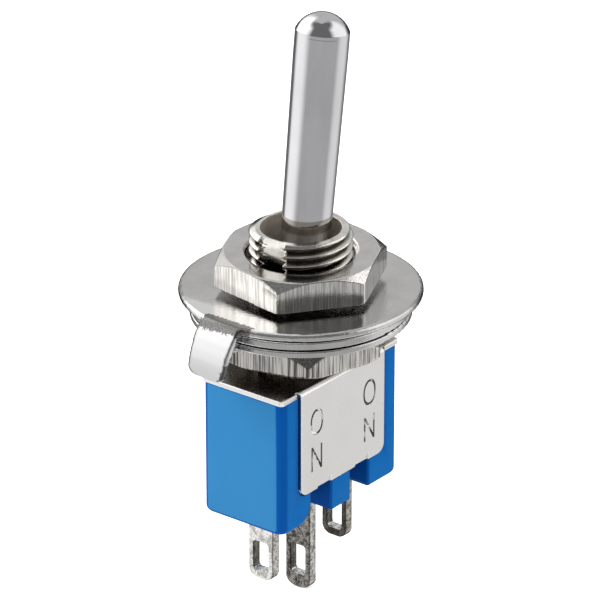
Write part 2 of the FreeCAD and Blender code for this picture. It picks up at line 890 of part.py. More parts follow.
rocker = new_body("rocker")
top = dim("blade_rise")
under = dim("blade_rise") - dim("blade_thick")
tip_top = vee(dim("blade_half"), top)
tip_under = vee(dim("blade_half"), under)
apex_top = top / cosine(dim("blade_vee"))
apex_under = under / cosine(dim("blade_vee"))
sketch = new_sketch(rocker, "XZ_Plane", "BladeProfile")
outline(
    sketch,
    [
        (0, apex_under),
        tip_under,
        tip_top,
        (0, apex_top),
        (-tip_top[0], tip_top[1]),
        (-tip_under[0], tip_under[1]),
    ],
)
pad(rocker, sketch, dim("blade_wid"), "Blade", both=True)
sketch = new_sketch(rocker, "XZ_Plane", "RibOutline")
ring(sketch, dim("rib_rad"))
pad(rocker, sketch, dim("blade_wid"), "Rib", both=True)
rocker.setExpression("Placement", rocker_text)


def make_rocker_contact(label, sign):
    body = new_body(label)
    sketch = new_sketch(body, "XZ_Plane", label + "_profile")
    near_in = dim("button_at") - dim("button_rad")
    near_out = dim("button_at") + dim("button_rad")
    points = [
        vee(near_in, under),
        vee(near_out, under),
        vee(near_out, under - dim("button_thick")),
        vee(near_in, under - dim("button_thick")),
    ]
    outline(sketch, [(x * sign, y) for x, y in points])
    pad(body, sketch, dim("button_rad") * 2, label + "_bar", both=True)
    body.setExpression("Placement", rocker_text)
    return body


make_rocker_contact("rocker_contact_left", -1)
make_rocker_contact("rocker_contact_right", 1)

# Lever: domed bat on a ball, hollow stem below; drawn upright about the pivot, then leaned

lever_text = "placement(vector(0; 0; Dims.pivot_high); rotation(vector(0; 1; 0); Dims.throw))"
ball = dim("ball_rad")
neck_at = root(ball * ball - dim("neck_rad") * dim("neck_rad"))
stem_at = root(ball * ball - dim("stem_rad") * dim("stem_rad"))
dome_low = dim("lever_top") - dim("dome_high")
lever = new_body("lever")
sketch = new_sketch(lever, "XZ_Plane", "LeverProfile")
outline(
    sketch,
    [
        (0, -dim("stem_low")),
        (dim("stem_rad"), -dim("stem_low")),
        (dim("stem_rad"), -stem_at, "arc"),
        (dim("neck_rad"), neck_at),
        (dim("tip_rad"), dome_low - dim("tip_land")),
        (dim("tip_rad"), dome_low, "arc"),
        (0, dim("lever_top")),
    ],
)
turn(lever, sketch, "LeverTurned")
sketch = new_sketch(lever, "XY_Plane", "StemBoreOutline", -dim("stem_low"))
ring(sketch, dim("plunge_rad") + dim("plunge_gap"))
pocket(lever, sketch, "StemBore", dim("stem_low") - dim("bore_top"), along=True)
sketch = new_sketch(lever, "XZ_Plane", "BallHoleOutline")
ring(sketch, dim("pin_rad") + dim("pin_gap"))
pocket(lever, sketch, "BallHole", ball * 3, both=True)
lever.setExpression("Placement", lever_text)

pivot_pin = new_body("pivot_pin")
sketch = new_sketch(pivot_pin, "XZ_Plane", "PinOutline")
ring(sketch, dim("pin_rad"), 0, pivot)
pad(pivot_pin, sketch, dim("pin_len"), "Pin", both=True)

# Spring-loaded plunger in the stem, its round nose on the rocker

nose_mid = dim("nose_low") - dim("nose_rad")
plunger = new_body("plunger")
sketch = new_sketch(plunger, "XZ_Plane", "PlungerProfile")
outline(
    sketch,
    [
        (0, -dim("nose_low"), "arc"),
        (dim("nose_rad"), -nose_mid),
        (dim("plunge_rad"), -dim("plunge_shoulder")),
        (dim("plunge_rad"), -dim("plunge_top")),
        (0, -dim("plunge_top")),
    ],
)
turn(plunger, sketch, "PlungerTurned")
plunger.setExpression("Placement", lever_text)

spring = new_body("plunger_spring")
sketch = new_sketch(spring, "XZ_Plane", "WireOutline")
spring_low = -dim("plunge_top") + dim("wire_rad")
spring_high = -dim("bore_top") - dim("wire_rad")
ring(sketch, dim("wire_rad"), dim("coil_rad"), spring_low)
coil = spring.newObject("PartDesign::AdditiveHelix", "Coil")
coil.Profile = sketch
coil.ReferenceAxis = (sketch, ["V_Axis"])
coil.Mode = "height-turns-angle"
coil.setExpression("Height", (spring_high - spring_low).text)
coil.setExpression("Turns", "Dims.coil_turns")
sketch.Visibility = False
doc.recompute()
spring.setExpression("Placement", lever_text)

# Check every object, then write one file for each sub-part

doc.recompute()
for item in doc.Objects:
    if "Invalid" in item.State or "Error" in item.State:
        raise RuntimeError("%s failed: %s" % (item.Label, item.State))

os.makedirs("parts", exist_ok=True)
for item in doc.Objects:
    if item.TypeId != "PartDesign::Body":
        continue
    if item.Shape.isNull() or not item.Shape.isValid() or len(item.Shape.Solids) != 1:
        raise RuntimeError("%s has no single valid solid" % item.Label)
    item.Shape.exportStep("parts/%s.step" % item.Label)
    print(item.Label, round(item.Shape.Volume, 3))
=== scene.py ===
import json
import math

import bmesh
import bpy
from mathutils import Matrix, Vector


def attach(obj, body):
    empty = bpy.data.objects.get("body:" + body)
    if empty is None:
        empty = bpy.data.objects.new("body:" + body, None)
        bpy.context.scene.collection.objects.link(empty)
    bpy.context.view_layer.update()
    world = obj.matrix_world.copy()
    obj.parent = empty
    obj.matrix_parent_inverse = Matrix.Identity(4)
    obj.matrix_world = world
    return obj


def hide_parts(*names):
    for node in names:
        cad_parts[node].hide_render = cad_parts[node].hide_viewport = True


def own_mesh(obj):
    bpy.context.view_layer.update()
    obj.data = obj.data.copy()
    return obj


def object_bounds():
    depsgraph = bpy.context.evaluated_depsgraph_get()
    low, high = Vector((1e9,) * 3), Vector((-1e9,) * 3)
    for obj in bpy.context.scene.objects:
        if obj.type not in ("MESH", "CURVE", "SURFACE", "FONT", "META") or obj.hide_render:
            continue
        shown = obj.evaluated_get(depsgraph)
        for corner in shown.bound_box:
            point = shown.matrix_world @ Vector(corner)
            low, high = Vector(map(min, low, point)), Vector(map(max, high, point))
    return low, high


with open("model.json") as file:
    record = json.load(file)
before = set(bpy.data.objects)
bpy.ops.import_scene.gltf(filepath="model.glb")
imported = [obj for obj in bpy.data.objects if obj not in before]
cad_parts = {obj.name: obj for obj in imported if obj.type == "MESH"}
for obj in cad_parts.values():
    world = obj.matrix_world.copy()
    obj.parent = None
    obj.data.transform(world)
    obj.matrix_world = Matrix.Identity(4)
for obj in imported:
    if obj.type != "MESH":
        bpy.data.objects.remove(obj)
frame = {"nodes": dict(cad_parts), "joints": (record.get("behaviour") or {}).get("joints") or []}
nodes = frame["nodes"]
cad_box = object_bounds()
scene = bpy.context.scene

# Lengths are in mm, and MM turns them into the scene's metres
MM = 0.001
HOUSING_END = max(abs(corner[0]) for corner in nodes["housing"].bound_box) / MM
DISC_TOP = max(corner[2] for corner in nodes["locating_washer"].bound_box) / MM

# The camera that the photograph was fitted with, angles in degrees
CAMERA_AZIMUTH = -52
CAMERA_ELEVATION = 25.2
CAMERA_DISTANCE = 222.94
CAMERA_LENS = 288
SENSOR_WIDE = 36
AIM_RIGHT = -0.042
AIM_UP = 2.634

# Barrel and thread
BARREL_RADIUS = 2.415
BARREL_TOP = 6.6
THREAD_PITCH = 0.46
THREAD_ROOT = 2.03
THREAD_LOW = 0.5
THREAD_OVERRUN = 0.3
THREAD_STEPS = 72
THREAD_FLOOR_HALF = 0.02
THREAD_FADE_TURNS = 0.4
THREAD_FIRST_DEPTH = 0.25
CUTTER_PROUD = 0.06

# Plunger spring
PIVOT_HIGH = 3.3
COIL_RADIUS = 0.52
WIRE_RADIUS = 0.08
WIRE_SIDES = 12
COIL_STEPS = 36
COIL_END_TURNS = 0.75
COIL_END_PITCH = 2.05 * WIRE_RADIUS
COIL_OPEN_TURNS = 4

# Stamped letters on the front skirt
SKIRT_FACE = -2.505
LETTER_DEEP = 0.08
LETTER_PROUD = 0.01
LETTER_LINE = 0.15
LETTER_FLOOR = 0.04
LETTER_INSET = 0.045
LETTER_SIDE = 2.0
RING_CENTRE = -1.83
RING_WIDE = 0.98
RING_HIGH = 1.33
RING_POINTS = 40
RING_SQUARENESS = 0.9
ZIG_CENTRE = -3.67
ZIG_WIDE = 0.85
ZIG_HIGH = 1.27
ZIG_SLANT = 2.1

# Rounded edges: bevel widths; voxel sizes and smoothing passes of the remeshed pieces
MERGE = 0.0005
PLANAR_ANGLE = 0.6
BEVEL_ANGLE = 35
BEVEL_SEGMENTS = 2
FRAME_BEVEL = 0.035
HOUSING_BEVEL = 0.05
REMESHED = {
    "upper_nut": (0.05, 4), "lower_nut": (0.05, 3), "locating_washer": (0.06, 10),
    "terminal_left": (0.05, 3), "terminal_common": (0.05, 3), "terminal_right": (0.05, 3)}
BUSHING_REMESH = (0.04, 2)
SMOOTH_ANGLES = {"lever": 20, "flat_washer": 28, "lock_washer": 28}
HOUSING_ANGLE = 28
FRAME_ANGLE = 25
FRAME_LARGEST = 0.3

# Marks in the materials: a pair of numbers is the start and the end of a soft step.
# Lever: its axis at rest, the dull band above the bushing that is a painted reflection of the bushing,
# the painted dark reflection lines at the dome's foot
LEVER_AXIS = (0.12706461, 0, 0.99189444)
BAND_START, BAND_END = (6.4, 6.6), (7.12, 7.18)
DOME_FOOT, DOME_FOOT_LINE = 15.88, (0.02, 0.06)
DOME_LOW_LINE, DOME_LOW_LINE_SPAN = 15.68, (0.01, 0.03)

# Bushing: its bore, and painted shade at its foot under the lower nut, low in its keyway as a painted
# dark reflection, and in its thread grooves
BORE_WALL = (1.883, 1.897)
FOOT_TOP = (0.4, 0.7)
KEYWAY_FLOOR = (-1.97, -1.93)
KEYWAY_SIDE = (0.66, 0.72)
KEYWAY_SHADE_TOP = (5.85, 6.1)
GROOVE_WALL = (2.18, 2.34)
GROOVE_TOP = (6.45, 6.55)

# Nuts: the chamfer's left side, towards the key lamp, painted one grey: painted light on the lower nut,
# painted shade on the upper
CHAMFER_LEFT = (2.1, 2.8)

# Locating washer: its painted dark rim, its painted highlight patch, and the tab with its fold and the
# painted dark reflection along it
RIM_EDGE = (5.56, 5.71)
RIM_FRONT = (1.0, 3.0)
PATCH_START = (4.2, 4.7)
TAB_START = (-5.7, -5.5)
INNER_START = (-5.2, -4.8)
TAB_TOP = DISC_TOP - 1.0
TAB_LEAN = 0.4
TAB_SIDE = (-1.04, -0.96)
TAB_DARKER = (0.0, 1.3)
FOLD_INNER = (-5.16, -5.08)
FOLD_OUTER = (-5.94, -5.88)
FOLD_SIDE = (1.3, 1.4)

# Frame: the painted shade in the middle of its top plate round the nut, and the stamped letters
PLATE_MIDDLE = (3.6, 4.7)
STAMP_START = (SKIRT_FACE + 0.008, SKIRT_FACE + 0.03)
STAMP_END = (SKIRT_FACE + 0.085, SKIRT_FACE + 0.095)
STAMP_SIDE = (2.6, 2.7)
STAMP_LOW, STAMP_TOP = (-4.5, -4.4), (-1.0, -0.9)

# Lugs and housing
EYELET_SIDE = (0.45, 0.5)
END_INSET = (0.4, 0.3)

# How far a face turns towards an axis, 0 to 1
FLAT_FACE = (0.35, 0.6)
LEVER_FRONT = (0.8, 0.93)
CHAMFER_RISE, CHAMFER_FALL = (0.3, 0.5), (0.9, 0.96)
TAB_INSIDE = (0.2, 0.5)
TAB_UNDER = (-0.7, -0.4)
TAB_OUTLINE = (0.03, 0.2)
SHEET_EDGE = (0.94, 0.99)
LUG_FACE = (0.75, 0.92)
LUG_CORNER = (0.8, 0.96)
EYELET_LEDGE = (0.4, 0.8)
HOUSING_ROUND = (0.03, 0.3)
HOUSING_FACE = (0.93, 0.98)

# Floor, and the even light on all that isn't a mirror
FLOOR_HALF = 900
FLOOR_GAP = 0.02
FLOOR_TONE = 0.9
FLOOR_GLOW = 0.6
SOFT_LIGHT = 0.62

# The room that metal mirrors: strengths, and how each part of it fades with height and heading
LOW_FRONT, LOW_BACK, LOW_LEFT, LOW_RIGHT = 0.56, -0.34, 0.8, 0.46
HIGH_FRONT, HIGH_BACK, HIGH_LEFT, HIGH_RIGHT = 0.2, 0.48, 1.55, 1.2
HORIZON_DARK = 0.75
HORIZON_LOW, HORIZON_TOP = (-0.4, -0.2), (0.05, 0.2)
HIGH_START = (-0.05, 0.1)
CEILING = (0.75, 0.92)


# Node helpers

class Tree:
    """Adds shader or geometry nodes and joins them up."""

    def __init__(self, tree):
        self.tree = tree
        tree.nodes.clear()

    def add(self, kind, **values):
        node = self.tree.nodes.new(kind)
        for key, value in values.items():
            setattr(node, key, value)
        return node

    def join(self, source, target):
        self.tree.links.new(source, target)

    def feed(self, target, value):
        """A socket is joined to the target, and a plain value is set on it."""
        if isinstance(value, bpy.types.NodeSocket):
            self.join(value, target)
        else:
            target.default_value = value

    def math(self, operation, a, b=0.0):
        node = self.add("ShaderNodeMath", operation=operation)
        self.feed(node.inputs[0], a)
        self.feed(node.inputs[1], b)
        return node.outputs[0]

    def chain(self, operation, values):
        total = values[0]
        for value in values[1:]:
            total = self.math(operation, total, value)
        return total

    def plus(self, *values):
        return self.chain("ADD", values)

    def times(self, *values):
        return self.chain("MULTIPLY", values)

    def largest(self, *values):
        return self.chain("MAXIMUM", values)

    def minus(self, a, b):
        return self.math("SUBTRACT", a, b)

    def without(self, mask):
        """The mask turned round: 1 where it is 0."""
        return self.minus(1.0, mask)

    def size(self, value):
        return self.math("ABSOLUTE", value)

    def vector(self, operation, a, b=(0, 0, 0)):
        node = self.add("ShaderNodeVectorMath", operation=operation)
        self.feed(node.inputs[0], a)
        self.feed(node.inputs[1], b)
        return node.outputs["Value" if operation in ("DOT_PRODUCT", "LENGTH") else "Vector"]

    def dot(self, a, b):
        return self.vector("DOT_PRODUCT", a, b)

    def parts(self, vector):
        node = self.add("ShaderNodeSeparateXYZ")
        self.join(vector, node.inputs[0])
        return node.outputs[0], node.outputs[1], node.outputs[2]

    def normal(self):
        return self.add("ShaderNodeNewGeometry").outputs["Normal"]

    def step(self, value, span, start=0.0, end=1.0):
        """A soft step from start to end, over a span of the value."""
        node = self.add("ShaderNodeMapRange", interpolation_type="SMOOTHSTEP")
        self.feed(node.inputs["Value"], value)
        node.inputs["From Min"].default_value = span[0]
        node.inputs["From Max"].default_value = span[1]
        node.inputs["To Min"].default_value = start
        node.inputs["To Max"].default_value = end
        return node.outputs[0]

    def fall(self, value, span, start=1.0):
        """A soft step down to 0."""
        return self.step(value, span, start, 0.0)

    def between(self, value, rise, fall, high=1.0):
        """Up over the first span and down again over the second."""
        return self.times(self.step(value, rise), self.fall(value, fall, high))

    def noise(self, vector, scale, detail, rough, warp=0.0):
        """Noise at a scale per mm: one number, or one for each axis."""
        if isinstance(scale, tuple):
            stretch = self.add("ShaderNodeMapping")
            self.feed(stretch.inputs["Vector"], vector)
            stretch.inputs["Scale"].default_value = scale
            vector, scale = stretch.outputs[0], 1.0
        node = self.add("ShaderNodeTexNoise")
        self.feed(node.inputs["Vector"], vector)
        node.inputs["Scale"].default_value = scale
        node.inputs["Detail"].default_value = detail
        node.inputs["Roughness"].default_value = rough
        node.inputs["Distortion"].default_value = warp
        return node.outputs["Fac"]

    def mix(self, factor, a, b):
        """The colour a where the factor is 0, and b where it is 1."""
        node = self.add("ShaderNodeMix", data_type="RGBA")
        self.feed(node.inputs[0], factor)
        self.feed(node.inputs[6], a)
        self.feed(node.inputs[7], b)
        return node.outputs[2]

    def blend(self, factor, a, b):
        """The number a where the factor is 0, and b where it is 1."""
        node = self.add("ShaderNodeMix", data_type="FLOAT")
        self.feed(node.inputs[0], factor)
        self.feed(node.inputs[2], a)
        self.feed(node.inputs[3], b)
        return node.outputs[0]

    def bump(self, height, strength, depth, over=None):
        """A bump of a depth in mm, laid over another one."""
        node = self.add("ShaderNodeBump")
        self.feed(node.inputs["Strength"], strength)
        node.inputs["Distance"].default_value = depth * MM
        self.feed(node.inputs["Height"], height)
        if over is not None:
            self.join(over, node.inputs["Normal"])
        return node.outputs[0]


def finish_material(name, build):
    """A material with one Principled shader; build gets the tree, the shader and the place in mm."""
    material = bpy.data.materials.new(name)
    material.use_nodes = True
    tree = Tree(material.node_tree)
    shader = tree.add("ShaderNodeBsdfPrincipled")
    output = tree.add("ShaderNodeOutputMaterial")
    tree.join(shader.outputs[0], output.inputs[0])
    metres = tree.add("ShaderNodeTexCoord").outputs["Object"]
    place = tree.vector("MULTIPLY", metres, (1 / MM, 1 / MM, 1 / MM))
    build(tree, shader, place)
    return material


def surface(tree, shader, base, metallic, roughness, normal=None):
    """Sets the shader's main inputs, each a socket or a plain value."""
    tree.feed(shader.inputs["Base Color"], base)
    tree.feed(shader.inputs["Metallic"], metallic)
    tree.feed(shader.inputs["Roughness"], roughness)
    if normal is not None:
        tree.join(normal, shader.inputs["Normal"])


def colour(red, green, blue):
    """A colour given as it looks on screen, 0 to 255."""
    def line(v):
        v = v / 255
        return v / 12.92 if v <= 0.04045 else ((v + 0.055) / 1.055) ** 2.4
    return (line(red), line(green), line(blue), 1.0)


def direction(azimuth, elevation):
    """The direction at an azimuth and an elevation in degrees, counted from the camera's side."""
    turn = math.radians(CAMERA_AZIMUTH + azimuth)
    rise = math.radians(elevation)
    return Vector((math.sin(turn) * math.cos(rise), -math.cos(turn) * math.cos(rise), math.sin(rise)))


def heading(azimuth):
    """The level direction at an azimuth."""
    return tuple(direction(azimuth, 0))


# Masks that several materials share

def flatness(tree):
    """How far a face looks up or down, 0 to 1."""
    return tree.step(tree.size(tree.parts(tree.normal())[2]), FLAT_FACE)


def squareness(tree):
    """1 on a face square to an axis, and less on a rounded edge."""
    return tree.largest(*(tree.size(part) for part in tree.parts(tree.normal())))


def from_axis(tree, place):
    """The distance from the barrel's axis."""
    return tree.vector("LENGTH", tree.vector("MULTIPLY", place, (1, 1, 0)))


# Materials

def chrome(tree, shader, place):
    """Bright lever: faint wear, a dull band above the bushing that is a painted reflection of it, and
    painted dark reflection lines at the dome's foot on the side facing the camera.
    """
    wear = tree.noise(place, (0.9, 0.9, 0.26), detail=4.0, rough=0.6)
    fine = tree.noise(place, (6, 6, 0.5), detail=2.0, rough=0.5)
    # Painted reflection: the dull brownish band where the bushing's rim and bore would show in the
    # chrome
    band = tree.between(tree.parts(place)[2], BAND_START, BAND_END, 0.8)
    # Painted dark reflection lines at the dome's foot and a little below it, only where the surface
    # faces the camera
    along = tree.dot(place, LEVER_AXIS)
    foot = tree.fall(tree.size(tree.minus(along, DOME_FOOT)), DOME_FOOT_LINE, 0.85)
    low_line = tree.fall(tree.size(tree.minus(along, DOME_LOW_LINE)), DOME_LOW_LINE_SPAN, 0.4)
    front = tree.step(tree.dot(tree.normal(), heading(0)), LEVER_FRONT)
    line = tree.times(front, tree.plus(foot, low_line))
    metal = tree.mix(tree.step(wear, (0.35, 0.75)), colour(207, 206, 208), colour(198, 198, 200))
    lined = tree.mix(line, metal, colour(70, 68, 66))
    surface(
        tree, shader, base=tree.mix(band, lined, colour(136, 130, 122)), metallic=1.0,
        roughness=tree.step(wear, (0.3, 0.8), 0.05, 0.09),
        normal=tree.bump(fine, strength=0.08, depth=0.01))


def barrel(tree, shader, place):
    """Bright nickel outside, with painted shade at its foot and in its thread grooves and a painted
    dark reflection low in its keyway; a dull brownish bore.
    """
    x, y, z = tree.parts(place)
    across = from_axis(tree, place)
    cloud = tree.noise(place, 0.9, detail=4.0, rough=0.6)
    grain = tree.noise(place, 14, detail=3.0, rough=0.6)
    bore = tree.fall(across, BORE_WALL)
    # Painted shade at the bushing's foot, under the lower nut
    foot = tree.fall(z, FOOT_TOP)
    # Painted dark reflection of the nut's bore, low on the keyway's floor
    keyway = tree.times(tree.fall(x, KEYWAY_FLOOR), tree.fall(tree.size(y), KEYWAY_SIDE))
    keyway_low = tree.fall(tree.plus(z, tree.times(cloud, 0.4)), KEYWAY_SHADE_TOP)
    # Painted shade down in the thread grooves
    groove = tree.times(tree.fall(across, GROOVE_WALL), tree.fall(z, GROOVE_TOP))
    painted_shading = tree.math("MINIMUM", 1.0, tree.plus(
        foot, tree.times(keyway, keyway_low), tree.times(groove, tree.without(keyway))))
    clean = tree.mix(tree.step(cloud, (0.35, 0.7)), colour(232, 229, 224), colour(206, 202, 195))
    bright = tree.mix(tree.times(painted_shading, 0.85), clean, colour(82, 76, 68))
    dull = tree.mix(tree.step(cloud, (0.3, 0.7)), colour(220, 212, 201), colour(184, 176, 165))
    surface(
        tree, shader, base=tree.mix(bore, bright, dull),
        metallic=tree.step(bore, (0.0, 1.0), 1.0, 0.25),
        roughness=tree.plus(tree.step(cloud, (0.3, 0.75), 0.09, 0.16), tree.times(bore, 0.36)),
        normal=tree.bump(grain, strength=1.0, depth=0.0022))


def hexagon(tops, sides, slopes):
    """Nickel nut: drawn lines down its flats, a smoother top and a mottled chamfer, whose side towards
    the key lamp is painted one grey as light and shade.
    """
    def build(tree, shader, place):
        flat = flatness(tree)
        upright = tree.size(tree.parts(tree.normal())[2])
        sloped = tree.between(upright, CHAMFER_RISE, CHAMFER_FALL)
        cloud = tree.noise(place, 1.1, detail=4.0, rough=0.6)
        fine = tree.noise(place, (15, 15, 0.26), detail=3.0, rough=0.65)
        broad = tree.noise(place, (3.5, 3.5, 0.3), detail=3.0, rough=0.6)
        chips = tree.noise(place, 15, detail=4.0, rough=0.65)
        lines = tree.plus(tree.times(fine, 0.7), tree.times(broad, 0.3))
        top = tree.mix(tree.step(cloud, (0.35, 0.7)), *tops)
        side = tree.mix(tree.step(lines, (0.42, 0.6)), *sides)
        mottled = tree.mix(tree.step(chips, (0.4, 0.6)), *slopes)
        # Painted light and shade: the chamfer's side towards the key lamp set to one grey
        left = tree.step(tree.dot(place, heading(-75)), CHAMFER_LEFT)
        slope = tree.mix(left, mottled, colour(152, 150, 147))
        rubbed = tree.bump(lines, strength=tree.fall(flat, (0.0, 1.0)), depth=0.0014)
        surface(
            tree, shader, base=tree.mix(sloped, tree.mix(flat, side, top), slope), metallic=1.0,
            roughness=tree.step(cloud, (0.3, 0.75), 0.1, 0.17),
            normal=tree.bump(chips, strength=1.0, depth=0.0022, over=rubbed))
    return build


def washer(tree, shader, place):
    """Bright nickel ring with a painted dark rim away from the front and a painted highlight patch; a
    smoother tab, dull inside, with painted shade down it and a painted dark reflection at its fold.
    """
    x, y, z = tree.parts(place)
    normal_x, normal_y, normal_z = tree.parts(tree.normal())
    cloud = tree.noise(place, 0.6, detail=4.0, rough=0.6)
    grain = tree.noise(place, 20, detail=3.0, rough=0.65)
    swell = tree.noise(place, 8, detail=3.0, rough=0.6)
    ragged = tree.times(tree.minus(swell, 0.5), 0.4)

    tab = tree.fall(x, TAB_START)
    inward = tree.largest(
        tree.step(normal_x, TAB_INSIDE), tree.times(tab, tree.fall(normal_z, TAB_UNDER)))
    inner = tree.times(inward, tree.fall(x, INNER_START))

    # Painted shade: the rim darkened where it turns away from the camera
    edge = tree.step(tree.plus(from_axis(tree, place), tree.times(swell, 0.2)), RIM_EDGE)
    rim = tree.times(edge, tree.fall(tree.dot(place, heading(0)), RIM_FRONT, 0.9), tree.without(tab))
    # Painted highlight: a pale patch on the ring's top, on the side towards the camera's front left
    patch = tree.step(tree.plus(tree.dot(place, heading(-34)), tree.times(swell, 0.6)), PATCH_START)
    plain = tree.mix(tree.step(cloud, (0.3, 0.75)), colour(206, 205, 204), colour(192, 191, 189))
    lit = tree.mix(tree.times(patch, flatness(tree)), plain, colour(238, 238, 236))
    ring = tree.mix(rim, lit, colour(60, 58, 56))

    # Painted shade: the tab darker further down, with a dark strip along its front side and on its
    # faces turned away from the camera
    fallen = tree.minus(TAB_TOP, z)
    side = tree.fall(tree.plus(ragged, tree.minus(y, tree.times(fallen, TAB_LEAN))), TAB_SIDE)
    outline = tree.step(normal_y, TAB_OUTLINE)
    strip = tree.mix(tree.step(fallen, TAB_DARKER), colour(206, 206, 206), colour(184, 184, 185))
    folded = tree.mix(tree.largest(side, outline), strip, colour(96, 94, 93))

    # Painted dark reflection along the fold, speckled
    frayed = tree.plus(x, ragged)
    fold = tree.times(
        tree.between(frayed, FOLD_OUTER, FOLD_INNER),
        tree.fall(tree.plus(tree.size(y), ragged), FOLD_SIDE, 0.9))
    speckled = tree.mix(tree.step(grain, (0.4, 0.6)), colour(70, 68, 66), colour(120, 118, 115))
    outside = tree.mix(fold, tree.mix(tab, ring, folded), speckled)

    calm = tree.without(tree.times(tab, 0.75))
    wavy = tree.bump(swell, strength=calm, depth=0.01)
    surface(
        tree, shader, base=tree.mix(inner, outside, colour(190, 190, 190)),
        metallic=tree.without(inner),
        roughness=tree.plus(
            tree.step(cloud, (0.3, 0.75), 0.09, 0.14), tree.times(tab, 0.1), tree.times(inner, 0.3)),
        normal=tree.bump(grain, strength=calm, depth=0.0025, over=wavy))


def satin(tree, shader, place):
    """Plated sheet: matt skirts, a browner top plate painted as shade and darkest round the nut,
    painted highlights on its edges, painted shade and highlights in the stamped letters.
    """
    x, y, z = tree.parts(place)
    flat = flatness(tree)
    cloud = tree.noise(place, 0.45, detail=3.0, rough=0.5)
    grain = tree.noise(place, 9, detail=3.0, rough=0.6)
    painted_shading = tree.noise(place, 1.9, detail=2.0, rough=0.5)
    stamped = tree.times(
        tree.between(y, STAMP_START, STAMP_END), tree.fall(tree.size(x), STAMP_SIDE),
        tree.between(z, STAMP_LOW, STAMP_TOP))
    # Painted highlight: near-white on the sheet's rounded edges
    edge = tree.times(tree.fall(squareness(tree), SHEET_EDGE), tree.fall(stamped, (0.0, 0.01)))
    skirt = tree.mix(tree.step(cloud, (0.3, 0.75)), colour(214, 212, 210), colour(210, 208, 205))
    # Painted shade: the top plate, the faces looking up, darker and browner than the skirts, and darker
    # still round the nut
    outer = tree.mix(tree.step(cloud, (0.3, 0.75)), colour(198, 192, 184), colour(178, 171, 162))
    plate = tree.mix(tree.step(from_axis(tree, place), PLATE_MIDDLE), colour(146, 137, 126), outer)
    sheet = tree.mix(edge, tree.mix(flat, skirt, plate), colour(252, 251, 249))
    # Painted shade and painted highlights in the letter grooves, mixed by noise
    letters = tree.mix(tree.step(painted_shading, (0.5, 0.62)), colour(108, 106, 103), colour(246, 245, 243))
    surface(
        tree, shader, base=tree.mix(stamped, sheet, letters),
        metallic=tree.without(tree.times(edge, 0.6)),
        roughness=tree.minus(tree.step(grain, (0.3, 0.7), 0.27, 0.31), tree.times(flat, 0.03)),
        normal=tree.bump(grain, strength=1.0, depth=0.002))


def tinned(wides, edges):
    """Solder-dipped lug: specks and stains on its wide faces, painted dark lines on its rounded
    corners, a paler edge, painted shade in its eyelet and painted highlights on the eyelet's upward
    ledge.
    """
    def build(tree, shader, place):
        normal = tree.parts(tree.normal())
        wide = tree.step(tree.size(normal[0]), LUG_FACE)
        # Painted shade: dark lines on the rounded corners
        corner = tree.fall(squareness(tree), LUG_CORNER, 0.8)
        eyelet = tree.times(tree.fall(tree.size(tree.parts(place)[1]), EYELET_SIDE), tree.without(wide))
        ledge = tree.times(eyelet, tree.step(normal[2], EYELET_LEDGE))
        blotch = tree.noise(place, 2.6, detail=5.0, rough=0.7, warp=0.4)
        specks = tree.noise(place, 9, detail=5.0, rough=0.8)
        spread = tree.step(tree.plus(tree.times(blotch, 0.45), tree.times(specks, 0.55)), (0.44, 0.56))
        faces = tree.mix(wide, tree.mix(spread, *edges), tree.mix(spread, *wides))
        lined = tree.mix(corner, faces, colour(58, 55, 51))
        # Painted shade on the eyelet's walls
        eyelet_shade = tree.mix(spread, colour(112, 107, 100), colour(52, 48, 43))
        # Painted highlight: near-white specks on the eyelet's upward ledge
        ledge_highlight = tree.mix(tree.step(specks, (0.45, 0.6)), colour(255, 254, 250), colour(120, 115, 108))
        lumps = tree.bump(blotch, strength=1.0, depth=0.012)
        surface(
            tree, shader, base=tree.mix(ledge, tree.mix(eyelet, lined, eyelet_shade), ledge_highlight),
            metallic=tree.without(tree.times(ledge, 0.5)),
            roughness=tree.step(blotch, (0.3, 0.7), 0.14, 0.26),
            normal=tree.bump(specks, strength=1.0, depth=0.005, over=lumps))
    return build


def moulded(tree, shader, place):
    """Blue plastic: end faces painted paler as lit from the side, and painted shade on the rounded
    edges and in the notches.
    """
    cloud = tree.noise(place, 0.25, detail=3.0, rough=0.5)
    grain = tree.noise(place, 12, detail=2.0, rough=0.5)
    turned = tree.size(tree.parts(tree.normal())[0])
    # Painted light and shade: end faces paler as if lit, rounded edges and the notches' end faces
    # darker as if shaded
    end_face = tree.step(turned, HOUSING_FACE)
    rounding = tree.times(tree.step(turned, HOUSING_ROUND, 0.0, 0.8), tree.without(end_face))
    outermost = tree.step(
        tree.size(tree.parts(place)[0]), (HOUSING_END - END_INSET[0], HOUSING_END - END_INSET[1]))
    sides = tree.mix(tree.step(cloud, (0.3, 0.7)), colour(0, 105, 180), colour(0, 102, 177))
    ends = tree.mix(tree.step(cloud, (0.3, 0.7)), colour(50, 123, 176), colour(47, 121, 174))
    edged = tree.mix(rounding, sides, colour(0, 74, 154))
    notched = tree.mix(outermost, colour(0, 72, 150), ends)
    surface(
        tree, shader, base=tree.mix(end_face, edged, notched), metallic=0.0,
        roughness=tree.step(cloud, (0.3, 0.7), 0.38, 0.44),
        normal=tree.bump(grain, strength=0.05, depth=0.01))
    shader.inputs["Specular IOR Level"].default_value = 0.05


def hidden_metal(light, rough):
    """Plain metal for the pieces inside."""
    def build(tree, shader, place):
        cloud = tree.step(tree.noise(place, 1.2, detail=3.0, rough=0.6), (0.3, 0.7))
        darker = tuple(0.8 * v for v in light[:3]) + (1.0,)
        surface(
            tree, shader, base=tree.mix(cloud, light, darker), metallic=1.0,
            roughness=tree.blend(cloud, rough, rough + 0.1))
    return build


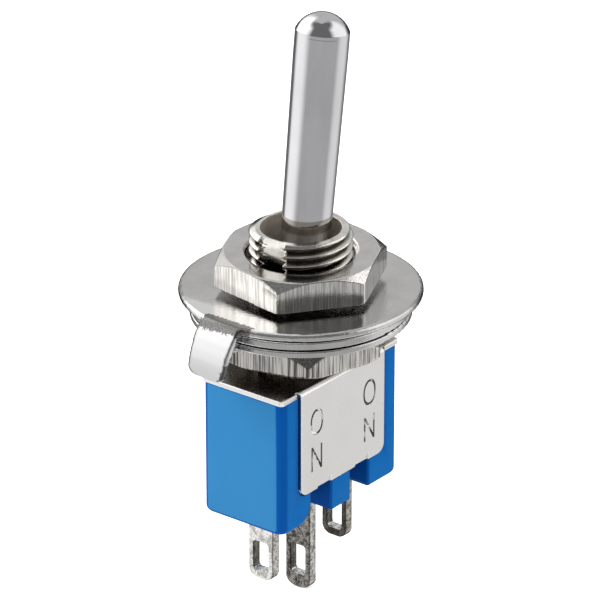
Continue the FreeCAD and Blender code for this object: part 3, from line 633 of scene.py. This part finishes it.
def nylon(tree, shader, place):
    """Plain pale plastic for the plunger."""
    cloud = tree.step(tree.noise(place, 1.2, detail=3.0, rough=0.6), (0.3, 0.7))
    surface(
        tree, shader, base=tree.mix(cloud, colour(232, 228, 214), colour(220, 214, 198)),
        metallic=0.0, roughness=tree.blend(cloud, 0.4, 0.5))


upper_nickel = hexagon(
    tops=(colour(208, 207, 205), colour(196, 194, 190)),
    sides=(colour(229, 227, 223), colour(180, 177, 172)),
    slopes=(colour(240, 238, 235), colour(196, 193, 188)))
# Lower nut: painted shade under the washers makes its greys darker than the upper nut's, its chamfer
# most; the lines down its flats are its drawn finish
lower_nickel = hexagon(
    tops=(colour(200, 198, 195), colour(184, 181, 176)),
    sides=(colour(228, 225, 220), colour(88, 84, 79)),
    slopes=(colour(150, 147, 142), colour(98, 95, 91)))
# One tinned metal for all three lugs: the common and right ones have their wide faces painted darker,
# as shade from the lug beside them
left_tin = tinned(
    wides=(colour(216, 215, 213), colour(158, 155, 150)),
    edges=(colour(206, 203, 199), colour(122, 118, 112)))
common_tin = tinned(
    wides=(colour(136, 133, 128), colour(50, 48, 45)),
    edges=(colour(196, 193, 188), colour(112, 109, 104)))
right_tin = tinned(
    wides=(colour(84, 80, 75), colour(44, 41, 37)),
    edges=(colour(172, 168, 162), colour(92, 88, 83)))

finishes = {}
for finish, build, names in (
    ("chrome_lever", chrome, ("lever",)),
    ("bushing_nickel", barrel, ("bushing",)),
    ("upper_nut_nickel", upper_nickel, ("upper_nut",)),
    ("lower_nut_nickel", lower_nickel, ("lower_nut",)),
    ("washer_nickel", washer, ("flat_washer", "lock_washer", "locating_washer")),
    ("frame_satin", satin, ("frame",)),
    ("terminal_left_tin", left_tin, ("terminal_left",)),
    ("terminal_common_tin", common_tin, ("terminal_common",)),
    ("terminal_right_tin", right_tin, ("terminal_right",)),
    ("housing_blue", moulded, ("housing",)),
    ("contact_silver", hidden_metal(colour(225, 222, 214), 0.22), (
        "fixed_contact_left", "fixed_contact_right", "rocker_contact_left", "rocker_contact_right")),
    ("rocker_brass", hidden_metal(colour(214, 178, 104), 0.25), ("rocker",)),
    ("spring_steel", hidden_metal(colour(176, 174, 170), 0.28), ("plunger_spring", "pivot_pin")),
    ("plunger_nylon", nylon, ("plunger",)),
):
    finishes[finish] = finish_material(finish, build)
    for name in names:
        for slot in nodes[name].material_slots:
            slot.material = finishes[finish]


# Mesh helpers

def place_object(name, data):
    thing = bpy.data.objects.new(name, data)
    scene.collection.objects.link(thing)
    return thing


def mesh_object(name, corners, faces):
    """A mesh from corners in mm, with its faces turned outwards."""
    mesh = bpy.data.meshes.new(name)
    mesh.from_pydata([tuple(c * MM for c in corner) for corner in corners], [], faces)
    work = bmesh.new()
    work.from_mesh(mesh)
    bmesh.ops.recalc_face_normals(work, faces=work.faces)
    work.to_mesh(mesh)
    work.free()
    return place_object(name, mesh)


def weld(thing):
    step = thing.modifiers.new("weld", "WELD")
    step.merge_threshold = MERGE * MM


def soften(thing, width):
    """Small rounds on the sharp edges, on a mesh with its flat faces joined first."""
    weld(thing)
    step = thing.modifiers.new("planar", "DECIMATE")
    step.decimate_type = "DISSOLVE"
    step.angle_limit = math.radians(PLANAR_ANGLE)
    step = thing.modifiers.new("rounds", "BEVEL")
    step.width = width * MM
    step.segments = BEVEL_SEGMENTS
    step.limit_method = "ANGLE"
    step.angle_limit = math.radians(BEVEL_ANGLE)
    step.use_clamp_overlap = False
    step.miter_outer = "MITER_ARC"


def round_off(thing, voxel, passes):
    """Every edge softened a little: the solid is remeshed finely, then smoothed."""
    step = thing.modifiers.new("remesh", "REMESH")
    step.mode = "VOXEL"
    step.voxel_size = voxel * MM
    step.use_smooth_shade = True
    step = thing.modifiers.new("smooth", "SMOOTH")
    step.factor = 0.5
    step.iterations = passes


def cut(thing, cutter):
    step = thing.modifiers.new("cut", "BOOLEAN")
    step.operation = "DIFFERENCE"
    step.solver = "EXACT"
    step.object = cutter
    cutter.hide_render = True
    cutter.hide_viewport = True


def shade(thing, angle, largest=None):
    """Smooth shading with sharp edges past the angle; faces over the largest area stay flat."""
    group = bpy.data.node_groups.new("shade", "GeometryNodeTree")
    group.interface.new_socket("Geometry", in_out="INPUT", socket_type="NodeSocketGeometry")
    group.interface.new_socket("Geometry", in_out="OUTPUT", socket_type="NodeSocketGeometry")
    tree = Tree(group)
    start = tree.add("NodeGroupInput")
    end = tree.add("NodeGroupOutput")
    clean = tree.add("GeometryNodeRemoveAttribute")
    clean.inputs["Name"].default_value = "custom_normal"
    smooth = tree.add("GeometryNodeSetShadeSmooth", domain="FACE")
    if largest is not None:
        small = tree.add("FunctionNodeCompare", data_type="FLOAT", operation="LESS_THAN")
        small.inputs[1].default_value = largest * MM * MM
        tree.join(tree.add("GeometryNodeInputMeshFaceArea").outputs[0], small.inputs[0])
        tree.join(small.outputs[0], smooth.inputs["Shade Smooth"])
    wide = tree.add("FunctionNodeCompare", data_type="FLOAT", operation="GREATER_THAN")
    wide.inputs[1].default_value = math.radians(angle)
    sharp = tree.add("GeometryNodeSetShadeSmooth", domain="EDGE")
    sharp.inputs["Shade Smooth"].default_value = False
    tree.join(start.outputs[0], clean.inputs[0])
    tree.join(clean.outputs[0], smooth.inputs["Geometry"])
    tree.join(smooth.outputs[0], sharp.inputs["Geometry"])
    tree.join(tree.add("GeometryNodeInputMeshEdgeAngle").outputs[0], wide.inputs[0])
    tree.join(wide.outputs[0], sharp.inputs["Selection"])
    tree.join(sharp.outputs[0], end.inputs[0])
    step = thing.modifiers.new("shade", "NODES")
    step.node_group = group


# Thread cut into the barrel

def thread_cutter():
    """A V-shaped ribbon wound round the barrel, which runs in over its first part of a turn."""
    turns = (BARREL_TOP + THREAD_OVERRUN - THREAD_LOW) / THREAD_PITCH
    steps = int(turns * THREAD_STEPS)
    half = THREAD_PITCH * 0.5
    outer = BARREL_RADIUS + CUTTER_PROUD
    corners = []
    faces = []
    for i in range(steps + 1):
        turn = 2 * math.pi * i / THREAD_STEPS
        high = THREAD_LOW + THREAD_PITCH * i / THREAD_STEPS
        fade = min(1.0, i / (THREAD_FADE_TURNS * THREAD_STEPS))
        root = outer + (THREAD_ROOT - outer) * (THREAD_FIRST_DEPTH + (1 - THREAD_FIRST_DEPTH) * fade)
        for radius, rise in (
            (outer, half), (root, THREAD_FLOOR_HALF), (root, -THREAD_FLOOR_HALF), (outer, -half),
        ):
            corners.append((radius * math.cos(turn), radius * math.sin(turn), high + rise))
    for i in range(steps):
        a = 4 * i
        for k in range(4):
            m = (k + 1) % 4
            faces.append((a + k, a + m, a + 4 + m, a + 4 + k))
    last = 4 * steps
    faces.append((0, 1, 2, 3))
    faces.append((last + 3, last + 2, last + 1, last))
    return mesh_object("thread_cutter", corners, faces)


weld(nodes["bushing"])
cut(nodes["bushing"], thread_cutter())
round_off(nodes["bushing"], *BUSHING_REMESH)


# Letters stamped into the front skirt

class Stamp:
    """Grooves that narrow towards their floor, gathered into one cutter."""

    def __init__(self):
        self.corners = []
        self.faces = []

    def add(self, front, back):
        """Two loops of x and z: one just outside the skirt, one on the groove's floor."""
        base = len(self.corners)
        for ring, y in ((front, SKIRT_FACE - LETTER_PROUD), (back, SKIRT_FACE + LETTER_DEEP)):
            self.corners += [(x, y, z) for x, z in ring]
        return base, base + len(front)

    def wall(self, first, second, count):
        """Triangles between two loops."""
        for i in range(count):
            j = (i + 1) % count
            self.faces += [(first + i, first + j, second + j), (first + i, second + j, second + i)]

    def outline(self, front, back):
        """A stroke with a front and a floor."""
        count = len(front)
        front_at, back_at = self.add(front, back)
        self.wall(front_at, back_at, count)
        self.faces += [tuple(start + i for i in range(count)) for start in (front_at, back_at)]

    def loop(self, centre_x, centre_z):
        """One closed oval stroke."""
        wide, high = RING_WIDE - LETTER_LINE, RING_HIGH - LETTER_LINE
        (front_out, back_out), (front_in, back_in) = (self.add(*(
            oval(centre_x, centre_z, wide + line, high + line) for line in lines
        )) for lines in ((LETTER_LINE, LETTER_FLOOR), (-LETTER_LINE, -LETTER_FLOOR)))
        for first, second in (
            (front_out, front_in), (back_out, back_in), (front_out, back_out), (front_in, back_in),
        ):
            self.wall(first, second, RING_POINTS)

    def make(self, name):
        return mesh_object(name, self.corners, self.faces)


def oval(centre_x, centre_z, wide, high):
    """A rounded oval, a little squarer than an ellipse."""
    ring = []
    for i in range(RING_POINTS):
        turn = 2 * math.pi * i / RING_POINTS
        c, s = math.cos(turn), math.sin(turn)
        ring.append((
            centre_x + 0.5 * wide * math.copysign(abs(c) ** RING_SQUARENESS, c),
            centre_z + 0.5 * high * math.copysign(abs(s) ** RING_SQUARENESS, s)))
    return ring


def zigzag(centre_x, centre_z, line, inset):
    """Two upright strokes and a slanting one between them."""
    half = line / 2
    left = centre_x - (ZIG_WIDE - LETTER_LINE) / 2
    right = centre_x + (ZIG_WIDE - LETTER_LINE) / 2
    low = centre_z - ZIG_HIGH / 2 + inset
    top = centre_z + ZIG_HIGH / 2 - inset
    drop = line * ZIG_SLANT
    return [
        (left - half, low), (left + half, low), (left + half, top - drop), (right - half, low),
        (right + half, low), (right + half, top), (right - half, top), (right - half, low + drop),
        (left + half, top), (left - half, top)]


stamp = Stamp()
for side in (-LETTER_SIDE, LETTER_SIDE):
    stamp.loop(side, RING_CENTRE)
    stamp.outline(
        zigzag(side, ZIG_CENTRE, LETTER_LINE, 0.0),
        zigzag(side, ZIG_CENTRE, LETTER_FLOOR, LETTER_INSET))
soften(nodes["frame"], FRAME_BEVEL)
cut(nodes["frame"], stamp.make("letter_stamp"))
shade(nodes["frame"], FRAME_ANGLE, FRAME_LARGEST)


# Edges of the other pieces

soften(nodes["housing"], HOUSING_BEVEL)
shade(nodes["housing"], HOUSING_ANGLE)
for name, (voxel, passes) in REMESHED.items():
    weld(nodes[name])
    round_off(nodes[name], voxel, passes)
for name, angle in SMOOTH_ANGLES.items():
    weld(nodes[name])
    shade(nodes[name], angle)


# Plunger spring, as a coil that goes with the lever's body

def coil_rise(turn, turns, reach):
    """How high the wire is after some turns: closed ends, with an even pitch between them."""
    dead = COIL_END_TURNS * COIL_END_PITCH * MM
    if turn < COIL_END_TURNS:
        return dead * turn / COIL_END_TURNS
    if turn > turns - COIL_END_TURNS:
        return reach - dead * (turns - turn) / COIL_END_TURNS
    return dead + (reach - 2 * dead) * (turn - COIL_END_TURNS) / COIL_OPEN_TURNS


def spring_coil(node):
    """Closed ends and open turns between them, over the length of the CAD spring."""
    slide = next(joint for joint in frame["joints"] if joint["name"] == "plunger_slide")
    lean = Vector(slide["axis"]).normalized()
    heights = [vertex.co.dot(lean) for vertex in node.data.vertices]
    low, top = min(heights), max(heights)
    pivot = Vector((0, 0, PIVOT_HIGH * MM))
    side = lean.orthogonal().normalized()
    other = lean.cross(side)
    wire = WIRE_RADIUS * MM
    turns = 2 * COIL_END_TURNS + COIL_OPEN_TURNS
    steps = int(COIL_STEPS * turns)
    around = [2 * math.pi * k / WIRE_SIDES for k in range(WIRE_SIDES)]
    work = bmesh.new()
    rings = []
    for i in range(steps + 1):
        turn = turns * i / steps
        high = low + wire + coil_rise(turn, turns, top - low - 2 * wire)
        angle = 2 * math.pi * turn
        out = side * math.cos(angle) + other * math.sin(angle)
        middle = pivot + lean * (high - pivot.dot(lean)) + out * (COIL_RADIUS * MM)
        rings.append([
            work.verts.new(middle + (out * math.cos(a) + lean * math.sin(a)) * wire) for a in around])
    for first, second in zip(rings, rings[1:]):
        for k in range(WIRE_SIDES):
            m = (k + 1) % WIRE_SIDES
            work.faces.new((first[k], first[m], second[m], second[k]))
    work.faces.new(rings[0])
    work.faces.new(rings[-1])
    bmesh.ops.recalc_face_normals(work, faces=work.faces)
    mesh = bpy.data.meshes.new("spring_coil")
    work.to_mesh(mesh)
    work.free()
    mesh.shade_smooth()
    mesh.materials.append(finishes["spring_steel"])
    thing = place_object("spring_coil", mesh)
    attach(thing, "lever_body")
    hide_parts("plunger_spring")
    anchor = pivot + lean * (top - pivot.dot(lean))
    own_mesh(thing)


spring_coil(nodes["plunger_spring"])


# Floor, world, lamps and camera

def floor():
    """A matt pale floor just under the lugs, with a faint glow to the camera."""
    thing = mesh_object("floor", [
        (-FLOOR_HALF, -FLOOR_HALF, 0), (FLOOR_HALF, -FLOOR_HALF, 0),
        (FLOOR_HALF, FLOOR_HALF, 0), (-FLOOR_HALF, FLOOR_HALF, 0)], [(0, 1, 2, 3)])
    thing.location.z = cad_box[0].z - FLOOR_GAP * MM
    thing.visible_glossy = False
    material = bpy.data.materials.new("floor")
    material.use_nodes = True
    tree = Tree(material.node_tree)
    matt = tree.add("ShaderNodeBsdfDiffuse")
    matt.inputs["Color"].default_value = (FLOOR_TONE, FLOOR_TONE, FLOOR_TONE, 1)
    glow = tree.add("ShaderNodeEmission")
    seen = tree.add("ShaderNodeLightPath")
    tree.feed(glow.inputs["Strength"], tree.times(seen.outputs["Is Camera Ray"], FLOOR_GLOW))
    both = tree.add("ShaderNodeAddShader")
    output = tree.add("ShaderNodeOutputMaterial")
    tree.join(matt.outputs[0], both.inputs[0])
    tree.join(glow.outputs[0], both.inputs[1])
    tree.join(both.outputs[0], output.inputs[0])
    thing.data.materials.append(material)


def studio():
    """White to the camera; to metal, a pale room with two soft boxes and a darker front."""
    world = bpy.data.worlds.new("studio")
    scene.world = world
    world.use_nodes = True
    tree = Tree(world.node_tree)
    ray = tree.add("ShaderNodeTexCoord").outputs["Generated"]
    high = tree.parts(ray)[2]
    level = tree.vector("NORMALIZE", tree.vector("MULTIPLY", ray, (1, 1, 0)))

    def towards(azimuth, span):
        return tree.step(tree.dot(level, heading(azimuth)), span)

    def background(strength):
        node = tree.add("ShaderNodeBackground")
        node.inputs["Color"].default_value = (1, 1, 1, 1)
        tree.feed(node.inputs["Strength"], strength)
        return node.outputs[0]

    def choose(factor, first, second):
        node = tree.add("ShaderNodeMixShader")
        tree.join(factor, node.inputs[0])
        tree.join(first, node.inputs[1])
        tree.join(second, node.inputs[2])
        return node.outputs[0]

    back = towards(180, (0.3, 0.85))
    rear = towards(180, (0.5, 0.72))
    left = tree.times(towards(-104, (0.53, 0.95)), tree.without(rear))
    right = towards(104, (0.74, 0.99))
    left_high = towards(-112, (0.5, 0.95))
    right_high = towards(92, (0.65, 0.97))
    horizon = tree.between(high, HORIZON_LOW, HORIZON_TOP)
    above = tree.step(high, HIGH_START)
    below_ceiling = tree.fall(high, CEILING)

    low_room = tree.plus(
        LOW_FRONT, tree.times(back, LOW_BACK), tree.times(left, LOW_LEFT), tree.times(right, LOW_RIGHT))
    boxes = tree.plus(tree.times(left_high, HIGH_LEFT), tree.times(right_high, HIGH_RIGHT))
    high_room = tree.plus(HIGH_FRONT, tree.times(back, HIGH_BACK), tree.times(boxes, below_ceiling))
    room = tree.blend(above, low_room, high_room)
    strength = tree.times(room, tree.without(tree.times(horizon, back, HORIZON_DARK)))

    path = tree.add("ShaderNodeLightPath")
    mirrored = tree.largest(path.outputs["Is Glossy Ray"], path.outputs["Is Transmission Ray"])
    lit = choose(mirrored, background(SOFT_LIGHT), background(strength))
    seen = choose(path.outputs["Is Camera Ray"], lit, background(1.0))
    tree.join(seen, tree.add("ShaderNodeOutputWorld").inputs[0])


def lamp(name, azimuth, elevation, distance, wide, power):
    """A round lamp that points at the origin and shows in no mirror."""
    data = bpy.data.lights.new(name, "AREA")
    data.shape = "DISK"
    data.size = wide * MM
    data.energy = power
    out = direction(azimuth, elevation)
    thing = place_object(name, data)
    thing.location = out * (distance * MM)
    thing.rotation_mode = "QUATERNION"
    thing.rotation_quaternion = out.to_track_quat("Z", "Y")
    thing.visible_glossy = False
    thing.visible_camera = False


def camera():
    data = bpy.data.cameras.new("camera")
    data.sensor_width = SENSOR_WIDE
    data.lens = CAMERA_LENS
    data.clip_start = 0.01
    data.clip_end = 10
    back = direction(0, CAMERA_ELEVATION)
    right = direction(90, 0)
    up = back.cross(right)
    place = back * (CAMERA_DISTANCE * MM)
    aim = (right * AIM_RIGHT + up * AIM_UP) * MM
    thing = place_object("camera", data)
    thing.location = place
    thing.rotation_mode = "QUATERNION"
    thing.rotation_quaternion = (aim - place).to_track_quat("-Z", "Y")
    scene.camera = thing


floor()
studio()
lamp("key", azimuth=-75, elevation=35, distance=200, wide=160, power=0.32)
lamp("fill", azimuth=75, elevation=40, distance=200, wide=160, power=0.1)
lamp("top", azimuth=180, elevation=75, distance=200, wide=200, power=0.1)
camera()
scene.view_settings.view_transform = "Standard"
